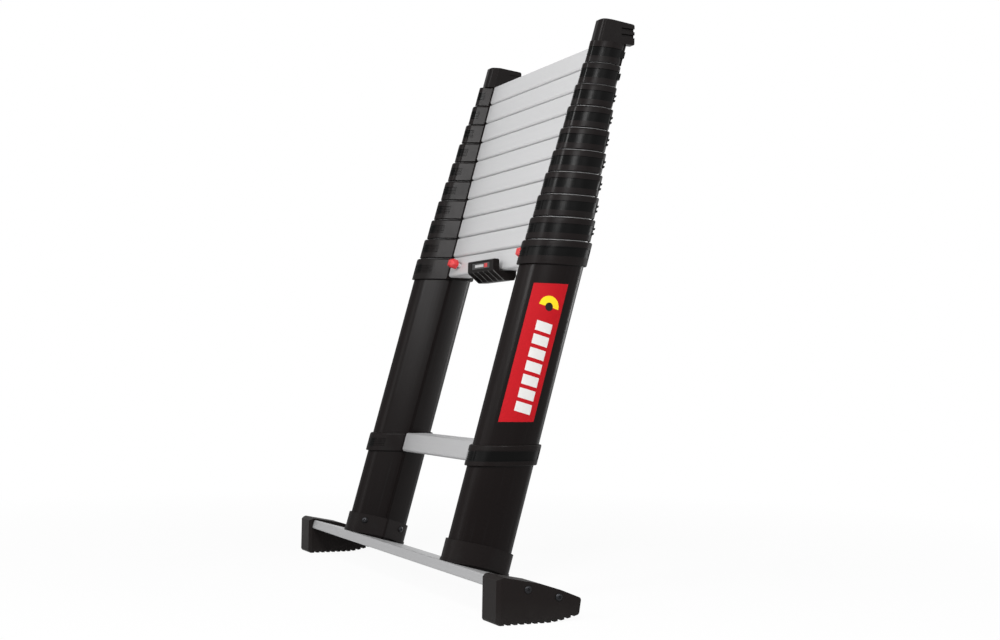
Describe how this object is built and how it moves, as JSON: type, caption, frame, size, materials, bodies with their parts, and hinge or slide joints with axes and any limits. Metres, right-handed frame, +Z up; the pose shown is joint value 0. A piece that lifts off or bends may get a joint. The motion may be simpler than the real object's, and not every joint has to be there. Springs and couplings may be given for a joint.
{
  "type": "telescoping ladder",
  "caption": "Closed telescoping ladder: nested column tubes with collars and stacked treads draw out and lock one by one, on a stabiliser bar with serrated feet and wall caps at the top.",
  "frame": {"origin": "on the floor under the centre of the closed ladder's box, with the soles at z = 0", "axes": "+X to the right of someone facing the treads, +Y from the climber's side to the wall, +Z up"},
  "size_m": [0.7924, 0.3032, 0.8272],
  "materials": {
    "tube_black": "satin black coating on the base columns",
    "moulded_black": "fine-grained moulded plastic",
    "aluminium_clear": "clear anodised sliding tubes",
    "aluminium_satin": "satin anodised, drawn lengthwise",
    "pin_steel": "turned steel",
    "button_red": "moulded red plastic",
    "foot_black": "moulded rubber",
    "screw_black": "blackened steel"
  },
  "bodies": {
    "base": {"stabiliser_bar": "aluminium_satin", "foot_left": "foot_black", "foot_right": "foot_black", "screws": "screw_black", "boots": "moulded_black", "base_tubes": "tube_black", "lower_collars": "moulded_black", "lower_rung": "aluminium_satin", "base_collars": "moulded_black", "base_rung": "aluminium_satin", "carry_handle": "moulded_black"},
    "release_left": {"base_pin_left": "pin_steel", "release_button_left": "button_red"},
    "release_right": {"base_pin_right": "pin_steel", "release_button_right": "button_red"},
    "section_1": {"section_1_tubes": "aluminium_clear", "section_1_collars": "moulded_black", "section_1_rung": "aluminium_satin"},
    "lock_1_left": {"section_1_pin_left": "pin_steel"},
    "lock_1_right": {"section_1_pin_right": "pin_steel"},
    "section_2": {"section_2_tubes": "aluminium_clear", "section_2_collars": "moulded_black", "section_2_rung": "aluminium_satin"},
    "lock_2_left": {"section_2_pin_left": "pin_steel"},
    "lock_2_right": {"section_2_pin_right": "pin_steel"},
    "section_3": {"section_3_tubes": "aluminium_clear", "section_3_collars": "moulded_black", "section_3_rung": "aluminium_satin"},
    "lock_3_left": {"section_3_pin_left": "pin_steel"},
    "lock_3_right": {"section_3_pin_right": "pin_steel"},
    "section_4": {"section_4_tubes": "aluminium_clear", "section_4_collars": "moulded_black", "section_4_rung": "aluminium_satin"},
    "lock_4_left": {"section_4_pin_left": "pin_steel"},
    "lock_4_right": {"section_4_pin_right": "pin_steel"},
    "section_5": {"section_5_tubes": "aluminium_clear", "section_5_collars": "moulded_black", "section_5_rung": "aluminium_satin"},
    "lock_5_left": {"section_5_pin_left": "pin_steel"},
    "lock_5_right": {"section_5_pin_right": "pin_steel"},
    "section_6": {"section_6_tubes": "aluminium_clear", "section_6_collars": "moulded_black", "section_6_rung": "aluminium_satin"},
    "lock_6_left": {"section_6_pin_left": "pin_steel"},
    "lock_6_right": {"section_6_pin_right": "pin_steel"},
    "section_7": {"section_7_tubes": "aluminium_clear", "section_7_collars": "moulded_black", "section_7_rung": "aluminium_satin"},
    "lock_7_left": {"section_7_pin_left": "pin_steel"},
    "lock_7_right": {"section_7_pin_right": "pin_steel"},
    "section_8": {"section_8_tubes": "aluminium_clear", "section_8_collars": "moulded_black", "section_8_rung": "aluminium_satin"},
    "lock_8_left": {"section_8_pin_left": "pin_steel"},
    "lock_8_right": {"section_8_pin_right": "pin_steel"},
    "section_9": {"section_9_tubes": "aluminium_clear", "section_9_collars": "moulded_black", "section_9_rung": "aluminium_satin", "wall_caps": "moulded_black"}
  },
  "joints": [
    {"name": "release_left_slide", "type": "slide", "parent": "base", "child": "release_left", "axis": [1, 0, 0], "range_m": [0, 0.007], "stiffness_N_per_m": 400, "springref_m": -0.004},
    {"name": "release_right_slide", "type": "slide", "parent": "base", "child": "release_right", "axis": [-1, 0, 0], "range_m": [0, 0.007], "stiffness_N_per_m": 400, "springref_m": -0.004},
    {"name": "section_1_slide", "type": "slide", "parent": "base", "child": "section_1", "axis": [0, 0.2588, 0.9659], "range_m": [0, 0.26]},
    {"name": "lock_1_left_slide", "type": "slide", "parent": "section_1", "child": "lock_1_left", "axis": [1, 0, 0], "range_m": [0, 0.007], "stiffness_N_per_m": 200, "springref_m": -0.004},
    {"name": "lock_1_right_slide", "type": "slide", "parent": "section_1", "child": "lock_1_right", "axis": [-1, 0, 0], "range_m": [0, 0.007], "stiffness_N_per_m": 200, "springref_m": -0.004},
    {"name": "section_2_slide", "type": "slide", "parent": "section_1", "child": "section_2", "axis": [0, 0.2588, 0.9659], "range_m": [0, 0.26]},
    {"name": "lock_2_left_slide", "type": "slide", "parent": "section_2", "child": "lock_2_left", "axis": [1, 0, 0], "range_m": [0, 0.007], "stiffness_N_per_m": 200, "springref_m": -0.004},
    {"name": "lock_2_right_slide", "type": "slide", "parent": "section_2", "child": "lock_2_right", "axis": [-1, 0, 0], "range_m": [0, 0.007], "stiffness_N_per_m": 200, "springref_m": -0.004},
    {"name": "section_3_slide", "type": "slide", "parent": "section_2", "child": "section_3", "axis": [0, 0.2588, 0.9659], "range_m": [0, 0.26]},
    {"name": "lock_3_left_slide", "type": "slide", "parent": "section_3", "child": "lock_3_left", "axis": [1, 0, 0], "range_m": [0, 0.007], "stiffness_N_per_m": 200, "springref_m": -0.004},
    {"name": "lock_3_right_slide", "type": "slide", "parent": "section_3", "child": "lock_3_right", "axis": [-1, 0, 0], "range_m": [0, 0.007], "stiffness_N_per_m": 200, "springref_m": -0.004},
    {"name": "section_4_slide", "type": "slide", "parent": "section_3", "child": "section_4", "axis": [0, 0.2588, 0.9659], "range_m": [0, 0.26]},
    {"name": "lock_4_left_slide", "type": "slide", "parent": "section_4", "child": "lock_4_left", "axis": [1, 0, 0], "range_m": [0, 0.007], "stiffness_N_per_m": 200, "springref_m": -0.004},
    {"name": "lock_4_right_slide", "type": "slide", "parent": "section_4", "child": "lock_4_right", "axis": [-1, 0, 0], "range_m": [0, 0.007], "stiffness_N_per_m": 200, "springref_m": -0.004},
    {"name": "section_5_slide", "type": "slide", "parent": "section_4", "child": "section_5", "axis": [0, 0.2588, 0.9659], "range_m": [0, 0.26]},
    {"name": "lock_5_left_slide", "type": "slide", "parent": "section_5", "child": "lock_5_left", "axis": [1, 0, 0], "range_m": [0, 0.007], "stiffness_N_per_m": 200, "springref_m": -0.004},
    {"name": "lock_5_right_slide", "type": "slide", "parent": "section_5", "child": "lock_5_right", "axis": [-1, 0, 0], "range_m": [0, 0.007], "stiffness_N_per_m": 200, "springref_m": -0.004},
    {"name": "section_6_slide", "type": "slide", "parent": "section_5", "child": "section_6", "axis": [0, 0.2588, 0.9659], "range_m": [0, 0.26]},
    {"name": "lock_6_left_slide", "type": "slide", "parent": "section_6", "child": "lock_6_left", "axis": [1, 0, 0], "range_m": [0, 0.007], "stiffness_N_per_m": 200, "springref_m": -0.004},
    {"name": "lock_6_right_slide", "type": "slide", "parent": "section_6", "child": "lock_6_right", "axis": [-1, 0, 0], "range_m": [0, 0.007], "stiffness_N_per_m": 200, "springref_m": -0.004},
    {"name": "section_7_slide", "type": "slide", "parent": "section_6", "child": "section_7", "axis": [0, 0.2588, 0.9659], "range_m": [0, 0.26]},
    {"name": "lock_7_left_slide", "type": "slide", "parent": "section_7", "child": "lock_7_left", "axis": [1, 0, 0], "range_m": [0, 0.007], "stiffness_N_per_m": 200, "springref_m": -0.004},
    {"name": "lock_7_right_slide", "type": "slide", "parent": "section_7", "child": "lock_7_right", "axis": [-1, 0, 0], "range_m": [0, 0.007], "stiffness_N_per_m": 200, "springref_m": -0.004},
    {"name": "section_8_slide", "type": "slide", "parent": "section_7", "child": "section_8", "axis": [0, 0.2588, 0.9659], "range_m": [0, 0.26]},
    {"name": "lock_8_left_slide", "type": "slide", "parent": "section_8", "child": "lock_8_left", "axis": [1, 0, 0], "range_m": [0, 0.007], "stiffness_N_per_m": 200, "springref_m": -0.004},
    {"name": "lock_8_right_slide", "type": "slide", "parent": "section_8", "child": "lock_8_right", "axis": [-1, 0, 0], "range_m": [0, 0.007], "stiffness_N_per_m": 200, "springref_m": -0.004},
    {"name": "section_9_slide", "type": "slide", "parent": "section_8", "child": "section_9", "axis": [0, 0.2588, 0.9659], "range_m": [0, 0.26]}
  ],
  "couplings": [
    {"joint": "lock_1_right_slide", "follows": "lock_1_left_slide", "ratio": 1},
    {"joint": "lock_2_right_slide", "follows": "lock_2_left_slide", "ratio": 1},
    {"joint": "lock_3_right_slide", "follows": "lock_3_left_slide", "ratio": 1},
    {"joint": "lock_4_right_slide", "follows": "lock_4_left_slide", "ratio": 1},
    {"joint": "lock_5_right_slide", "follows": "lock_5_left_slide", "ratio": 1},
    {"joint": "lock_6_right_slide", "follows": "lock_6_left_slide", "ratio": 1},
    {"joint": "lock_7_right_slide", "follows": "lock_7_left_slide", "ratio": 1},
    {"joint": "lock_8_right_slide", "follows": "lock_8_left_slide", "ratio": 1}
  ]
}
